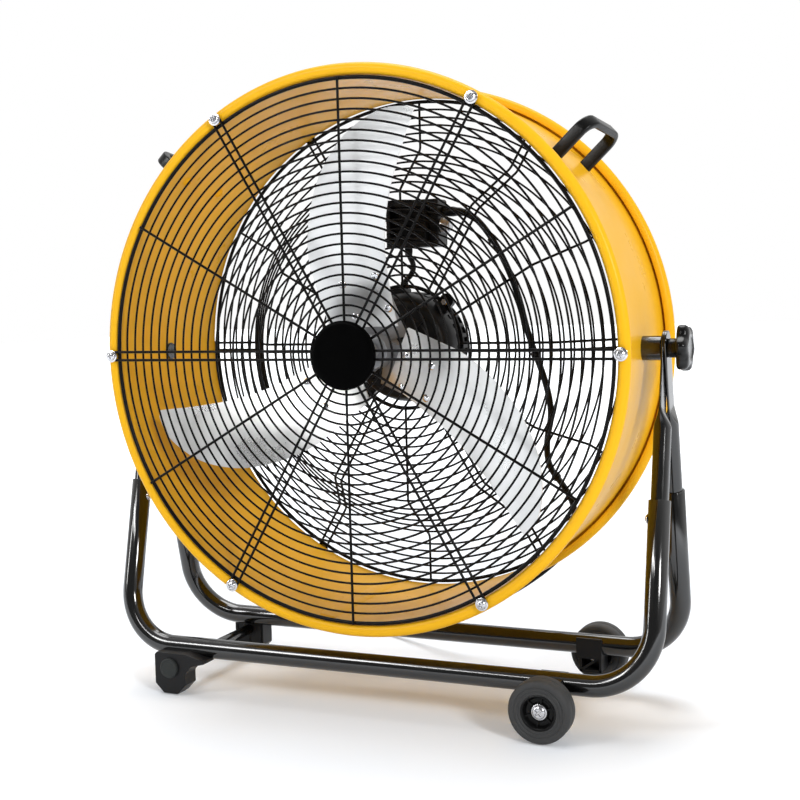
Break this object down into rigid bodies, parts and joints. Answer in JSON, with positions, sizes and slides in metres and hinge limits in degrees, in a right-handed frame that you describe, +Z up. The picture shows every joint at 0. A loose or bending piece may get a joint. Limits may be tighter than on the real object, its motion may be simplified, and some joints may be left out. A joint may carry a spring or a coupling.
{
  "type": "drum fan",
  "caption": "Portable drum fan: yellow barrel with wire guards, tilting between leaning black tube frames on wheels and feet.",
  "frame": {"origin": "on the floor under the middle of the tilt axis, the bottom centre of the fan without its cord", "axes": "+X to the right seen from the front, +Y to the back, away from the blown air, +Z up"},
  "size_m": [0.7446, 0.558, 0.7596],
  "materials": {
    "drum_yellow": "gloss",
    "tube_black": "gloss",
    "guard_black": "satin",
    "disc_black": "matte",
    "plastic_black": "satin",
    "hub_black": "matte",
    "tyre_grey": "matte",
    "rubber_black": "matte",
    "cord_black": "satin",
    "screw_steel": "bright",
    "spacer_black": "black",
    "blade_silver": "satin",
    "hub_steel": "satin",
    "motor_black": "satin black",
    "core_steel": "plain",
    "knob_silver": "bright"
  },
  "bodies": {
    "stand": {"front_base_tube": "tube_black", "rear_base_tube": "tube_black", "front_left_upright": "tube_black", "front_right_upright": "tube_black", "rear_left_upright": "tube_black", "rear_right_upright": "tube_black", "stand_screws": "screw_steel", "axle_screws": "screw_steel", "wheel_brackets": "plastic_black", "front_foot": "plastic_black", "rear_foot": "plastic_black", "foot_pads": "rubber_black", "foot_bar": "tube_black", "foot_bar_caps": "plastic_black", "cord_drop": "cord_black", "cord_coil": "cord_black", "plug_body": "cord_black", "plug_pins": "screw_steel"},
    "rotor": {"motor_shaft": "screw_steel", "motor_rotor_core": "core_steel", "fan_hub": "hub_steel", "hub_nut": "screw_steel", "blade_rivets": "screw_steel", "blade_1": "blade_silver", "blade_2": "blade_silver", "blade_3": "blade_silver"},
    "front_wheel": {"front_tyre": "tyre_grey", "front_wheel_hub": "hub_black"},
    "rear_wheel": {"rear_tyre": "tyre_grey", "rear_wheel_hub": "hub_black"},
    "left_knob": {"left_tilt_knob": "plastic_black"},
    "right_knob": {"right_tilt_knob": "plastic_black"},
    "speed_dial": {"speed_knob": "knob_silver"},
    "head": {"box_bracket": "guard_black", "control_box_housing": "plastic_black", "control_box_lid": "plastic_black", "cord_clips": "plastic_black", "cord_gland": "plastic_black", "cord_guard_run": "cord_black", "drum_shell": "drum_yellow", "front_guard": "guard_black", "guard_hub_disc": "disc_black", "guard_screws": "screw_steel", "handle_bolts": "screw_steel", "left_handle": "plastic_black", "lid_screws": "screw_steel", "motor_bearings": "screw_steel", "motor_bolts": "screw_steel", "motor_casing": "motor_black", "motor_cradle": "guard_black", "motor_front_bell": "motor_black", "motor_lead": "cord_black", "motor_rear_bell": "motor_black", "motor_stator": "core_steel", "motor_terminal_box": "plastic_black", "pivot_bolts": "screw_steel", "pivot_spacers": "spacer_black", "rear_guard": "guard_black", "right_handle": "plastic_black", "speed_switch": "plastic_black"}
  },
  "joints": [
    {"name": "drum_tilt", "type": "hinge", "parent": "stand", "child": "head", "pos_m": [0, 0, 0.428], "axis": [1, 0, 0], "range_deg": [-90, 90], "deforming": ["cord_drop"]},
    {"name": "fan_spin", "type": "hinge", "parent": "head", "child": "rotor", "pos_m": [0, -0.028, 0.428], "axis": [0, 1, 0], "continuous": true},
    {"name": "front_wheel_spin", "type": "hinge", "parent": "stand", "child": "front_wheel", "pos_m": [0.2295, -0.125, 0.036], "axis": [0, 1, 0], "continuous": true},
    {"name": "rear_wheel_spin", "type": "hinge", "parent": "stand", "child": "rear_wheel", "pos_m": [0.2295, 0.125, 0.036], "axis": [0, 1, 0], "continuous": true},
    {"name": "left_knob_turn", "type": "hinge", "parent": "head", "child": "left_knob", "pos_m": [-0.36, 0, 0.428], "axis": [-1, 0, 0], "range_deg": [0, 360]},
    {"name": "right_knob_turn", "type": "hinge", "parent": "head", "child": "right_knob", "pos_m": [0.36, 0, 0.428], "axis": [1, 0, 0], "range_deg": [0, 360]},
    {"name": "speed_turn", "type": "hinge", "parent": "head", "child": "speed_dial", "pos_m": [0.05, 0.075, 0.5805], "axis": [-1, 0, 0], "range_deg": [0, 270]}
  ]
}
